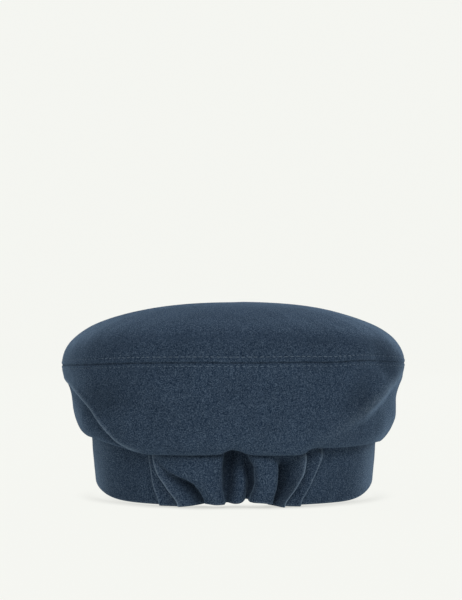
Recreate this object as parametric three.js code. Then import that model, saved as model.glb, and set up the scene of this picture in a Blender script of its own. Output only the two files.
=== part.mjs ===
// Baker boy cap in felted wool: a domed top panel, a full side panel that hangs over the headband,
// a headband gathered at the centre back, and a curved peak at the front.
// Millimetres, +Z up, +Y towards the peak and +X to the wearer's right. The cap rests on z = 0.
// Angles run round the headband's axis in degrees: 0 at the back, 90 at the wearer's right, 180 at the front.

import * as THREE from 'three';

// Driving dimensions
const CLOTH = 2.0; // felt of the crown
const BAND_WALL = 2.6; // doubled felt of the headband
const PEAK_WALL = 3.0; // felt peak, doubled and stiff
const GAP = 0.3; // between pieces that are sewn together

const BAND = { halfWidth: 88, back: 96, front: 97, power: 2.3, flare: 3.2, height: 38 };
const SEAM = { halfWidth: 109.3, back: 116, front: 117, power: 2.1 };
const DOME = { height: 120, power: 2.2 };

// The headband's lower edge lies on the ground behind and rises in a line towards the peak.
const RIM = { slope: 0.16, start: -57, blend: 12 };

// The side panel's end: it comes up against the headband, then folds in over the headband's top edge.
const TUCK = { out: 1.2, drop: 1.5, cornerOut: 0.8 };
// Where the panel rounds in between belly and lip, as shares of the way up from the lip.
const UNDER = { out: 0.68, height: 0.33 };

// The peak: its spread to each side of the front, its length there and at its ends, the sewn strip under the
// headband, the power that rounds its outline, the arch of its edge at the middle, the share of the spread at
// which that edge touches the ground, and the swell of its upper face.
const PEAK = {
  spread: 57,
  length: 54,
  endLength: 2,
  strip: 1,
  outlinePower: 0.8,
  arch: 4,
  touch: 7 / 12,
  swell: 2,
};

const FELT = { color: 0x303d4d, roughness: 0.95, metalness: 0 };

// Columns round the crown: those within so many degrees of the back are closer together.
const CROWN_GRID = { backHalf: 70, topBack: 30, sideBack: 46, front: 34 };
// The dome's rings, in degrees from its middle to the seam.
const DOME_ROWS = [0, 14, 28, 42, 55, 67, 78, 90];
// Steps along the side panel's section from one of its points to the next, and the number of the lip's point.
const SECTION_STEPS = [2, 4, 3, 3, 2, 1, 1];
const LIP = 4;
// Columns and rows of the peak.
const PEAK_GRID = { steps: 24, rows: [0, 0.25, 0.5, 0.75, 1] };

function table(columns, rows) {
  return rows.map((row) => Object.fromEntries(columns.map((name, i) => [name, row[i]])));
}

// Sections of the crown: heights, and how far each place stands out past the headband.
const SECTIONS = table(
  ['angle', 'seamHeight', 'waistOut', 'waistHeight', 'bellyOut', 'bellyHeight', 'lipOut', 'lipHeight'],
  [
    [-180, 87.0, 19.0, 78.0, 17.5, 68.0, 8.0, 57.0],
    [-135, 83.0, 16.5, 71.0, 15.5, 60.0, 6.0, 47.0],
    [-90, 79.0, 13.0, 60.0, 12.2, 51.0, 2.4, 35.6],
    [-55, 81.0, 16.0, 66.0, 15.5, 50.5, 5.5, 35.6],
    [-30, 83.3, 16.8, 68.0, 17.6, 49.0, 8.5, 30.0],
    [-10, 84.2, 16.8, 69.0, 18.0, 49.0, 8.5, 30.0],
    [0, 84.2, 16.8, 69.0, 18.0, 49.0, 8.0, 32.6],
    [10, 84.2, 16.8, 69.0, 18.0, 49.0, 8.5, 30.2],
    [20, 83.8, 16.8, 69.0, 18.0, 49.0, 8.5, 30.2],
    [30, 83.2, 16.8, 68.0, 17.6, 49.0, 8.0, 33.0],
    [55, 81.0, 16.0, 66.0, 15.0, 50.0, 5.5, 34.4],
    [90, 79.0, 13.2, 60.0, 12.4, 48.8, 2.4, 33.0],
    [135, 83.0, 16.5, 71.0, 15.5, 60.0, 6.0, 47.0],
    [180, 87.0, 19.0, 78.0, 17.5, 68.0, 8.0, 57.0],
  ],
);

// The crest stands above the ridge line by this share of the ridge's width.
const CREST_RISE = 0.3;
// The folds start by this place on the section, counted in points from the seam, and die out before the lip.
const FOLD_SPAN = { start: 0.5, end: 1.2 };

// The two long folds that run down the crown from its sides to the lip: each ridge's height and drop.
const FOLD_COLUMNS = ['angle', 'height', 'drop'];
const LEFT_FOLD = {
  ridge: 3,
  fall: 7.5,
  reach: 17,
  crest: 0.28,
  path: table(FOLD_COLUMNS, [
    [-125, 71.0, 0.0],
    [-105, 70.0, 1.2],
    [-88, 68.5, 2.4],
    [-72, 66.0, 4.8],
    [-60, 61.5, 6.6],
    [-50, 54.5, 7.6],
    [-42, 45.0, 7.2],
    [-37, 38.0, 5.4],
    [-31, 33.0, 2.0],
    [-24, 29.0, 0.0],
  ]),
};
const RIGHT_FOLD = {
  ridge: 4,
  fall: 9,
  reach: 16,
  crest: 0.35,
  path: table(FOLD_COLUMNS, [
    [22, 31.0, 0.0],
    [29, 38.5, 1.4],
    [36, 44.5, 2.8],
    [43, 49.8, 3.8],
    [50, 54.5, 4.2],
    [58, 59.0, 4.2],
    [70, 64.0, 3.6],
    [88, 68.5, 2.6],
    [105, 71.0, 1.2],
    [125, 72.0, 0.0],
  ]),
};

// Gathers of the headband at the back, one row for each ridge and valley: the place across
// at the upper, middle and lower level, and how far the cloth stands out there.
const GATHERS = table(
  ['highX', 'midX', 'lowX', 'highOut', 'midOut', 'lowOut'],
  [
    [-60.0, -58.0, -54.0, 0.0, 0.0, 0.0],
    [-52.4, -49.6, -46.2, 0.0, 0.0, 0.0],
    [-50.0, -46.8, -43.4, 2.0, 2.8, 3.2],
    [-48.0, -44.4, -36.5, 1.6, 1.6, 1.8],
    [-46.4, -41.4, -32.4, 4.0, 5.0, 5.4],
    [-41.5, -36.0, -27.0, 3.4, 3.0, 3.4],
    [-38.6, -31.6, -20.0, 4.0, -2.0, -3.0],
    [-35.0, -27.2, -15.8, 5.4, 6.4, 6.4],
    [-20.0, -18.0, -11.0, 6.4, 8.0, 7.6],
    [-7.6, -7.4, -6.4, 5.0, 6.4, 6.4],
    [-2.6, -3.6, -3.2, -4.6, -5.4, -3.6],
    [1.6, 1.8, 1.4, -1.0, 4.0, 4.6],
    [5.0, 5.4, 4.6, -3.0, 2.0, 3.0],
    [8.0, 8.8, 7.8, -4.0, -4.6, -3.2],
    [12.4, 12.6, 11.0, 4.8, 6.2, 5.6],
    [18.0, 17.0, 15.4, 6.4, 7.8, 7.0],
    [23.6, 22.0, 19.2, 5.0, 6.2, 5.8],
    [28.6, 25.8, 22.6, 0.0, -3.2, -2.4],
    [36.0, 33.0, 26.4, 3.0, 2.8, 3.6],
    [42.0, 38.6, 29.0, 4.2, 5.4, 5.6],
    [44.8, 41.4, 31.6, 1.2, 1.2, 1.6],
    [51.4, 45.8, 35.0, 2.4, 3.2, 3.6],
    [54.0, 48.6, 38.0, 0.0, 0.0, 0.0],
    [62.0, 58.0, 50.0, 0.0, 0.0, 0.0],
  ],
);
// Levels of those columns as shares of the headband's height, and where the gathers die out at its top.
const GATHER_LEVEL = { low: 0, mid: 0.45, high: 0.8, fade: 0.72, gone: 0.94 };
// The lower edges of the deep valleys hang clear of the ground: by how much, at which stand-out the rise
// starts and is full, and how far from the middle it is full and ends.
const VALLEY = { lift: 1.8, from: 3, to: -3, middle: 28, side: 36 };
// The headband's levels as shares of its height, the parts of each step between gathers, and the columns
// round its front.
const BAND_GRID = { shares: [1, 0.92, 0.82, 0.68, 0.5, 0.3, 0.12, 0], parts: [0, 0.33, 0.67], front: 40 };

const { sin, cos, abs, min, max, hypot, sqrt, exp } = Math;
const radians = THREE.MathUtils.degToRad;
const smooth = THREE.MathUtils.smoothstep;
const mix = THREE.MathUtils.lerp;
const clamp = THREE.MathUtils.clamp;

// Radius of an oval whose back and front halves have their own depths.
function oval(angle, shape) {
  const across = abs(sin(radians(angle)) / shape.halfWidth);
  const deep = abs(cos(radians(angle)) / (cos(radians(angle)) > 0 ? shape.back : shape.front));
  return (across ** shape.power + deep ** shape.power) ** (-1 / shape.power);
}

function wrapped(angle) {
  return THREE.MathUtils.euclideanModulo(angle + 180, 360) - 180;
}

// Cubic Hermite blend between two values with slopes m0 and m1 over a step of length h.
function hermite(v0, v1, m0, m1, h, t) {
  const s = 1 - t;
  return (1 + 2 * t) * s * s * v0 + t * s * s * h * m0 + t * t * (3 - 2 * t) * v1 - t * t * s * h * m1;
}

// Smooth closed curve round the cap through one column of the sections, whose first and last rows coincide.
function around(column, angle) {
  const last = SECTIONS.length - 1;
  const place = wrapped(angle);
  const at = (k) => {
    const turn = k < 0 ? -360 : k > last ? 360 : 0;
    const row = SECTIONS[(k + last) % last];
    const own = k === last ? SECTIONS[last] : row;
    return { x: own.angle + turn, v: own[column] };
  };
  const k = clamp(SECTIONS.findLastIndex((row) => row.angle <= place), 0, last - 1);
  const [p, q, r, s] = [at(k - 1), at(k), at(k + 1), at(k + 2)];
  const h = r.x - q.x;
  return hermite(q.v, r.v, (r.v - p.v) / (r.x - p.x), (s.v - q.v) / (s.x - q.x), h, (place - q.x) / h);
}

// Straight interpolation along a fold's path, held at its ends.
function along(path, column, angle) {
  const place = clamp(angle, path[0].angle, path.at(-1).angle);
  const k = clamp(path.findLastIndex((row) => row.angle <= place), 0, path.length - 2);
  const t = (place - path[k].angle) / (path[k + 1].angle - path[k].angle);
  return mix(path[k][column], path[k + 1][column], t);
}

// Cubic through points that never overshoots them.
function monotone(points, x) {
  const slope = (k) => (points[k + 1].v - points[k].v) / (points[k + 1].x - points[k].x);
  const tangent = (k) => {
    if (k === 0 || k === points.length - 1 || slope(k - 1) * slope(k) <= 0) return 0;
    const before = points[k].x - points[k - 1].x;
    const after = points[k + 1].x - points[k].x;
    const w1 = 2 * after + before;
    const w2 = after + 2 * before;
    return (w1 + w2) / (w1 / slope(k - 1) + w2 / slope(k));
  };
  const place = clamp(x, points[0].x, points.at(-1).x);
  const k = clamp(points.findLastIndex((point) => point.x <= place), 0, points.length - 2);
  const h = points[k + 1].x - points[k].x;
  return hermite(points[k].v, points[k + 1].v, tangent(k), tangent(k + 1), h, (place - points[k].x) / h);
}

// Height of the headband's lower edge.
function rimHeight(angle) {
  const past = -oval(angle, BAND) * cos(radians(angle)) - RIM.start;
  if (past > RIM.blend) return RIM.slope * past;
  return past < -RIM.blend ? 0 : (RIM.slope * (past + RIM.blend) ** 2) / (4 * RIM.blend);
}

function pointAt(angle, radius, height) {
  return new THREE.Vector3(radius * sin(radians(angle)), -radius * cos(radians(angle)), height);
}

// Angles round the cap, close together across the back and wider over the front.
function columns(backSteps) {
  const { backHalf, front } = CROWN_GRID;
  const behind = Array.from({ length: backSteps }, (_, i) => mix(-backHalf, backHalf, i / backSteps));
  const before = Array.from({ length: front }, (_, i) => mix(backHalf, 360 - backHalf, i / front));
  return [...behind, ...before];
}

// Closed wall between two grids of points, column by column. A grid that goes right round has no side edges.
// On both sides the quads are split along the diagonal that falls towards the back, as the folds do.
function wall(outer, inner, goesRound) {
  const positions = [];
  const numbers = new Map();
  const number = (point) => {
    const key = `${point.x},${point.y},${point.z}`;
    if (!numbers.has(key)) {
      numbers.set(key, numbers.size);
      positions.push(point.x, point.y, point.z);
    }
    return numbers.get(key);
  };
  const indices = [];
  const face = (a, b, c) => {
    const corner = [number(a), number(b), number(c)];
    if (new Set(corner).size === 3) indices.push(...corner);
  };
  const quad = (a, b, c, d) => {
    face(a, b, c);
    face(a, c, d);
  };
  const count = outer.length;
  const last = outer[0].length - 1;
  for (let i = 0; i < (goesRound ? count : count - 1); i++) {
    const k = (i + 1) % count;
    const leftSide = outer[i][last].x + outer[k][last].x < 0;
    for (let j = 0; j < last; j++) {
      const [a, b, c, d] = [outer[i][j], outer[i][j + 1], outer[k][j + 1], outer[k][j]];
      const [e, f, g, h] = [inner[i][j], inner[k][j], inner[k][j + 1], inner[i][j + 1]];
      if (leftSide) {
        quad(a, b, c, d);
        quad(e, f, g, h);
      } else {
        quad(b, c, d, a);
        quad(f, g, h, e);
      }
    }
    quad(outer[i][0], outer[k][0], inner[k][0], inner[i][0]);
    quad(outer[i][last], inner[i][last], inner[k][last], outer[k][last]);
  }
  if (!goesRound) {
    for (let j = 0; j < last; j++) {
      quad(outer[0][j], inner[0][j], inner[0][j + 1], outer[0][j + 1]);
      quad(outer[count - 1][j], outer[count - 1][j + 1], inner[count - 1][j + 1], inner[count - 1][j]);
    }
  }
  const geometry = new THREE.BufferGeometry();
  geometry.setAttribute('position', new THREE.Float32BufferAttribute(positions, 3));
  geometry.setIndex(indices);
  geometry.computeVertexNormals();
  return geometry;
}

// The grid moved in by a thickness along its own normals. The row at the seam keeps its height.
function offsetIn(grid, thickness, seamRow) {
  const count = grid.length;
  const last = grid[0].length - 1;
  return grid.map((column, i) =>
    column.map((point, j) => {
      const round = grid[(i + 1) % count][j].clone().sub(grid[(i + count - 1) % count][j]);
      const down = column[min(j + 1, last)].clone().sub(column[max(j - 1, 0)]);
      const normal = j === 0 && round.lengthSq() === 0 ? new THREE.Vector3(0, 0, 1) : down.cross(round);
      if (j === seamRow) normal.z = 0;
      return point.clone().addScaledVector(normal.normalize(), -thickness);
    }),
  );
}

// How far a long fold pushes the crown out along its ridge and in below it.
function foldPush(fold, angle, height) {
  const drop = along(fold.path, 'drop', angle);
  const below = along(fold.path, 'height', angle) - height;
  const tail = exp(-((max(below - fold.fall, 0) / fold.reach) ** 2));
  const crest = fold.crest * exp(-((below / fold.ridge + CREST_RISE) ** 2));
  return drop * (crest - smooth(below, 0, fold.fall) * tail);
}

// The side panel's section at one angle, from the seam down to the lip and up behind it to the headband.
function sideSection(angle) {
  const value = (column) => around(column, angle);
  const base = oval(angle, BAND) + BAND.flare;
  const bandTop = rimHeight(angle) + BAND.height;
  const out = [value('waistOut'), value('bellyOut'), value('lipOut')];
  const points = [
    [oval(angle, SEAM), value('seamHeight') - GAP / 2],
    [base + out[0], value('waistHeight')],
    [base + out[1], value('bellyHeight')],
    [base + mix(out[2], out[1], UNDER.out), mix(value('lipHeight'), value('bellyHeight'), UNDER.height)],
    [base + out[2], value('lipHeight')],
    [base + TUCK.out, bandTop - TUCK.drop],
    [base + TUCK.cornerOut, bandTop + GAP],
    [base - BAND_WALL, bandTop + GAP],
  ].map(([r, z]) => new THREE.Vector2(r, z));
  const end = points.length - 1;
  const step = (k) => points[k].distanceTo(points[k + 1]);
  const tangent = (k) => {
    if (k === 0) return new THREE.Vector2(0, -1);
    if (k === end) return points[end].clone().sub(points[end - 1]).divideScalar(step(end - 1));
    return points[k + 1].clone().sub(points[k - 1]).divideScalar(step(k - 1) + step(k));
  };
  const section = [];
  SECTION_STEPS.forEach((steps, k) => {
    const [m0, m1, h] = [tangent(k), tangent(k + 1), step(k)];
    for (let i = 0; i < steps; i++) {
      const blend = (axis) => hermite(points[k][axis], points[k + 1][axis], m0[axis], m1[axis], h, i / steps);
      section.push({ r: blend('x'), z: blend('y'), segment: k + i / steps });
    }
  });
  section.push({ r: points[end].x, z: points[end].y, segment: end });
  return section;
}

// The folds act along the section's normal, from just under the seam to the lip.
function foldedSection(angle) {
  const section = sideSection(angle);
  const place = wrapped(angle);
  return section.map(({ r, z, segment }, j) => {
    const before = section[max(j - 1, 0)];
    const after = section[min(j + 1, section.length - 1)];
    const run = { r: after.r - before.r, z: after.z - before.z };
    const share = smooth(segment, 0, FOLD_SPAN.start) * (1 - smooth(segment, LIP - FOLD_SPAN.end, LIP));
    const push = share * (foldPush(LEFT_FOLD, place, z) + foldPush(RIGHT_FOLD, place, z));
    const scale = push / hypot(run.r, run.z);
    return pointAt(angle, r - scale * run.z, z + scale * run.r);
  });
}

function crownTop() {
  const bulge = 2 / DOME.power;
  const outer = columns(CROWN_GRID.topBack).map((angle) => {
    const radius = oval(angle, SEAM);
    const seamHeight = around('seamHeight', angle) + GAP / 2;
    return DOME_ROWS.map((row) => {
      const reach = row === 0 ? 0 : sin(radians(row)) ** bulge;
      const rise = row === 90 ? 0 : cos(radians(row)) ** bulge;
      return pointAt(angle, radius * reach, mix(seamHeight, DOME.height, rise));
    });
  });
  return wall(outer, offsetIn(outer, CLOTH, DOME_ROWS.length - 1), true);
}

function crownSide() {
  const outer = columns(CROWN_GRID.sideBack).map(foldedSection);
  return wall(outer, offsetIn(outer, CLOTH, 0), true);
}

// A value that changes from the headband's lower level through its middle to its upper one.
function atLevel(share, lowValue, midValue, highValue) {
  const { low, mid, high } = GATHER_LEVEL;
  const level = min(share, high);
  return (
    (lowValue * (level - mid) * (level - high)) / ((low - mid) * (low - high)) +
    (midValue * (level - low) * (level - high)) / ((mid - low) * (mid - high)) +
    (highValue * (level - low) * (level - mid)) / ((high - low) * (high - mid))
  );
}

// The gathers cut at a share of the headband's height: each ridge's and valley's place and stand-out.
function gathersAt(share) {
  const strength = 1 - smooth(share, GATHER_LEVEL.fade, GATHER_LEVEL.gone);
  return GATHERS.map((row) => ({
    x: atLevel(share, row.lowX, row.midX, row.highX),
    v: atLevel(share, row.lowOut, row.midOut, row.highOut) * strength,
  }));
}

// The inner face under the gathers: nowhere nearer to the outer face than the wall's thickness.
function innerOut(gathers, x) {
  const samples = 17;
  const candidates = Array.from({ length: samples }, (_, i) => {
    const aside = mix(-BAND_WALL, BAND_WALL, i / (samples - 1));
    return monotone(gathers, x + aside) - sqrt(BAND_WALL ** 2 - aside ** 2);
  });
  return min(...candidates);
}

// The angle at which the headband, at a share of its height, lies at a place x across the back.
function angleAcross(x, share) {
  const passes = 8;
  let angle = 0;
  for (let pass = 0; pass < passes; pass++) {
    angle = THREE.MathUtils.radToDeg(Math.asin(x / (oval(angle, BAND) + BAND.flare * share)));
  }
  return angle;
}

// One level of the headband, its columns following the gathers across the back and even round the front.
function bandLevel(share) {
  const gathers = gathersAt(share);
  const places = gathers.slice(1).flatMap(({ x }, k) => BAND_GRID.parts.map((t) => mix(gathers[k].x, x, t)));
  const first = angleAcross(gathers[0].x, share);
  const last = angleAcross(gathers.at(-1).x, share);
  const back = places.map((x) => angleAcross(x, share));
  const steps = BAND_GRID.front;
  const front = Array.from({ length: steps }, (_, i) => mix(last, first + 360, i / steps));
  return [...back, ...front].map((angle) => {
    const base = oval(angle, BAND) + BAND.flare * share;
    const x = base * sin(radians(angle));
    const behind = cos(radians(angle)) > 0;
    const out = behind ? monotone(gathers, x) : 0;
    const within = behind ? innerOut(gathers, x) : -BAND_WALL;
    const deep = smooth(-out, -VALLEY.from, -VALLEY.to) * smooth(-abs(x), -VALLEY.side, -VALLEY.middle);
    const rim = rimHeight(angle);
    const height = mix(rim + (behind ? VALLEY.lift * deep : 0), rim + BAND.height, share);
    return { outer: pointAt(angle, base + out, height), inner: pointAt(angle, base + within, height) };
  });
}

function band() {
  const levels = BAND_GRID.shares.map(bandLevel);
  const face = (side) => levels[0].map((_, i) => levels.map((level) => level[i][side]));
  return wall(face('outer'), face('inner'), true);
}

// The peak: a sewn strip under the headband, then a crescent that slopes down to the ground.
function peak() {
  const upper = [];
  const lower = [];
  for (let i = 0; i <= PEAK_GRID.steps; i++) {
    const turn = mix(-PEAK.spread, PEAK.spread, i / PEAK_GRID.steps);
    const root = oval(180 + turn, BAND);
    const rootHeight = rimHeight(180 + turn) - GAP;
    const aside = abs(turn) / PEAK.spread;
    const reach = mix(PEAK.endLength, PEAK.length, max(cos((Math.PI / 2) * aside), 0) ** PEAK.outlinePower);
    const arch = PEAK.arch * max(1 - (aside / PEAK.touch) ** 2, 0) ** 2;
    const fall = 1 - smooth(aside, PEAK.touch, 1);
    const edgeHeight = mix(rootHeight - PEAK_WALL, arch, fall) + PEAK_WALL;
    const faces = [{ r: root - BAND_WALL, z: rootHeight }];
    PEAK_GRID.rows.forEach((row) => {
      const swell = PEAK.swell * fall * sin(Math.PI * row);
      faces.push({ r: root + PEAK.strip + reach * row, z: mix(rootHeight, edgeHeight, row) + swell });
    });
    upper.push(faces.map(({ r, z }) => pointAt(180 + turn, r, z)));
    lower.push(faces.map(({ r, z }) => pointAt(180 + turn, r, z - PEAK_WALL)));
  }
  return wall(upper, lower, false);
}

function piece(name, geometry) {
  const mesh = new THREE.Mesh(geometry, new THREE.MeshStandardMaterial(FELT));
  mesh.name = name;
  return mesh;
}

// The whole cap is centred front to back on the origin.
const backReach = BAND.back + BAND.flare + around('bellyOut', 0);
const frontReach = BAND.front + PEAK.strip + PEAK.length;

const cap = new THREE.Group();
cap.position.y = (backReach - frontReach) / 2;
cap.add(
  piece('crown_top', crownTop()),
  piece('crown_side', crownSide()),
  piece('band', band()),
  piece('peak', peak()),
);

export default cap;
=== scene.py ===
# Baker boy cap in dark blue felted wool, seen from behind as it rests on a pale floor.
import math

import bpy
import numpy as np
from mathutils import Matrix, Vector


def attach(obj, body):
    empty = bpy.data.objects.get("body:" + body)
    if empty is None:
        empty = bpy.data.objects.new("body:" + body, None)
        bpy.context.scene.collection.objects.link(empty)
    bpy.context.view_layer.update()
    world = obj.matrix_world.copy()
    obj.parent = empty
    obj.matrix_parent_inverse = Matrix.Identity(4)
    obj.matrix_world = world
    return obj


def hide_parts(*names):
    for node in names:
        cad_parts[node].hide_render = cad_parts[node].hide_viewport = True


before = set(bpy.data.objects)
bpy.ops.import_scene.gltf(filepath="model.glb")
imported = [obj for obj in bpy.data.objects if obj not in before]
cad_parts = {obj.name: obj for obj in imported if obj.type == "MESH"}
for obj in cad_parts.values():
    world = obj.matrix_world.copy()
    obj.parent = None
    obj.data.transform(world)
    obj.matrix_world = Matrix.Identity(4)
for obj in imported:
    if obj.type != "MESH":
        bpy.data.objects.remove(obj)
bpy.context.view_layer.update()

# Sizes in millimetres, as in the solids. Angles run round the headband's axis in degrees:
# 0 at the back, 90 at the wearer's right and 180 at the front.
MM = 0.001
# Thickness of the cloth, the headband and the peak, the sewn gaps, and the place of the headband's axis.
CLOTH = 2.0
BAND_WALL = 2.6
PEAK_WALL = 3.0
GAP = 0.3
SEAM_GAP = 0.06
AXIS_Y = -17.4
# The gathers reach lower than the headband's plain edge, which is RIM_DROP under the solid's. HANG lifts the
# whole cap until the gathers' lowest edge rests on the floor.
RIM_DROP = 0.8
HANG = 1.6

BAND = dict(half_width=88.0, back=96.0, front=97.0, power=2.3)
BAND_FLARE = 3.2
BAND_HEIGHT = 38.0
SEAM = dict(half_width=109.3, back=116.0, front=117.0, power=2.1)
# Where the top seam is pinched in or pushed out: angle, width in degrees, stand-out. The dome follows it over
# about PULL_SHARE of its height.
SEAM_PULL = np.array([[51, 6.5, -2.2], [68, 9.0, 1.8], [90, 14.0, -2.1], [-90, 18.0, 0.4]])
PULL_SHARE = 0.4
# Painted shade in the pinch at the right end of the seam: strength, angle and width in degrees, distance and
# width.
PINCH_SHADE = 0.64
PINCH_ANGLE = (60.0, 11.0)
PINCH_REACH = (4.0, 12.0)
DOME_HEIGHT = 120.0
DOME_POWER = 2.2
# The headband's lower edge is level at the back and rises in a line from RIM_START, measured forwards from
# the axis, with a soft bend. RIM_DROP fades out over RIM_DROP_END from there.
RIM_SLOPE = 0.16
RIM_START = -61.0
RIM_BLEND = 12.0
RIM_DROP_END = 48.0
# The lower edge is a little higher beside the gathers at the left: angle, width in degrees, rise.
RIM_LIFT = (-54.0, 14.0, 0.5)
# The side panel's tuck onto the headband: stand-out and depth of where it turns up, stand-out of its corner.
TUCK_OUT = 1.2
TUCK_DROP = 1.5
TUCK_CORNER = 0.8
# The point between belly and lip, as shares from the lip. It is drawn in towards the sides.
UNDER_BACK = 0.68
UNDER_SIDE = 0.56
UNDER_ANGLES = (35.0, 80.0)
UNDER_HEIGHT = 0.33
# The lip's place among the points of a section, counted from the seam.
LIP = 4

# Sections of the crown: angle, seam height, stand-out and height of waist and belly, stand-out of the lip.
SECTIONS = np.array([
    [-180, 87.0, 19.0, 78.0, 17.5, 68.0, 8.0],
    [-135, 83.0, 16.5, 71.0, 15.5, 60.0, 6.0],
    [-90, 80.2, 12.8, 60.5, 10.4, 50.2, 0.2],
    [-72, 80.8, 14.0, 62.5, 11.9, 50.0, 1.2],
    [-55, 81.9, 16.0, 66.0, 15.2, 50.5, 5.0],
    [-30, 84.1, 16.8, 68.0, 17.6, 49.0, 8.5],
    [-10, 84.8, 16.8, 69.0, 18.0, 49.0, 8.5],
    [0, 84.7, 16.8, 69.0, 18.0, 49.0, 8.0],
    [10, 84.8, 16.8, 69.0, 18.0, 49.0, 8.5],
    [20, 84.9, 16.8, 69.0, 18.0, 49.0, 8.5],
    [30, 84.6, 16.8, 68.0, 17.6, 49.0, 8.0],
    [42, 85.2, 16.4, 67.0, 16.3, 49.4, 6.5],
    [55, 84.0, 15.8, 66.0, 14.8, 50.0, 5.0],
    [72, 82.3, 13.4, 62.5, 12.2, 48.0, 1.4],
    [90, 80.6, 11.4, 61.0, 10.5, 46.5, 0.2],
    [135, 83.0, 16.5, 71.0, 15.5, 60.0, 6.0],
    [180, 87.0, 19.0, 78.0, 17.5, 68.0, 8.0],
])
SEAM_Z, WAIST_OUT, WAIST_Z, BELLY_OUT, BELLY_Z, LIP_OUT = range(1, 7)

# The lip's lower edge: angle and height. It is notched at the centre back and steps up at the right.
LIP_LINE = np.array([
    [-180, 57.0], [-135, 47.0], [-90, 34.6], [-60, 36.6], [-40, 33.4], [-32, 30.9], [-27, 29.9], [-14, 29.9],
    [-6, 30.3], [-3.7, 31.0], [-2.2, 32.4], [-0.8, 33.2], [1.9, 32.4], [3.7, 31.0], [5.8, 30.3], [13, 29.9],
    [20.4, 29.9], [22.5, 30.8], [24.0, 32.6], [26.7, 33.7], [35, 33.4], [60, 33.6], [90, 31.6], [135, 47.0],
    [180, 57.0],
])

# The two long folds of the crown, a sharp flap at the left and a soft roll at the right. path is angle,
# height of the ridge and drop below it. ridge, fall and reach are widths of the crest, drop and way back,
# crest is a share of the drop, and edge, line and wear_and_highlight are place, width and strength of the
# paler line along the ridge, partly wear and partly painted highlight.
LEFT_FOLD = dict(
    ridge=1.8, fall=2.2, reach=16.0, crest=0.25, edge=0.3, line=1.8, wear_and_highlight=1.2,
    path=np.array([
        [-125, 76.0, 0.0], [-105, 74.4, 0.3], [-88, 72.0, 0.9], [-72, 69.4, 2.8], [-60, 65.0, 4.4],
        [-50, 56.8, 4.8], [-42, 43.8, 4.6], [-37, 35.8, 3.8], [-33, 32.6, 2.4], [-27, 30.0, 0.0],
    ]),
)
RIGHT_FOLD = dict(
    ridge=6.5, fall=10.5, reach=14.0, crest=0.5, edge=0.0, line=4.2, wear_and_highlight=0.34,
    path=np.array([
        [20, 35.0, 0.0], [29.5, 43.0, 0.7], [36.3, 49.3, 1.4], [40.5, 53.8, 2.0], [46, 58.8, 2.7],
        [51.4, 63.6, 3.3], [58, 68.8, 3.4], [65, 72.8, 2.6], [76, 76.0, 0.9], [92, 77.5, 0.1],
        [120, 78.0, 0.0],
    ]),
)
# Painted light: the left side is a little paler low down: strength, and the angles and heights over which
# that fades out.
UNDER_PAINTED_LIGHT = 0.16
UNDER_PAINTED_LIGHT_ANGLES = (-70.0, -60.0)
UNDER_PAINTED_LIGHT_HEIGHTS = (50.0, 64.0)
# Both folds: how far the crest lies above the ridge, as a share of its width, and the drop at which the paler
# line is full. They come in below the seam and go out above the lip, over shares of a step between points.
CREST_RISE = 0.3
LINE_DROP = 2.5
FOLD_START = 0.5
FOLD_END = 0.9

# Soft dents and swellings of the crown: angle and height of the middle, width in degrees, height in
# millimetres, stand-out.
TOP_DENTS = np.array([
    [64, 92.0, 9.0, 7.0, -0.8], [80, 105.0, 18.0, 8.0, -0.6], [86, 117.0, 30.0, 4.0, 0.5],
    [-62, 94.0, 14.0, 8.0, -0.5], [-84, 99.0, 24.0, 9.0, -0.2], [0, 99.0, 62.0, 8.5, 2.8],
])
SIDE_DENTS = np.array([
    [72, 77.0, 8.0, 6.0, -1.4], [50, 76.0, 4.0, 6.5, 1.5], [86, 73.0, 14.0, 6.0, 0.8],
    [-64, 76.0, 10.0, 6.0, -0.6], [-20, 60.0, 14.0, 12.0, 0.5], [14, 58.0, 12.0, 12.0, 0.5],
    [36, 66.0, 10.0, 9.0, -0.6],
])

# Painted shade on the side and top panels: the same columns, with the strength at the end.
SIDE_SHADES = np.array([[-43, 62.0, 17.0, 14.0, 0.6], [41, 60.0, 10.0, 13.0, 0.55]])
TOP_SHADES = np.array([[55, 93.0, 15.0, 13.0, 0.5]])

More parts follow.
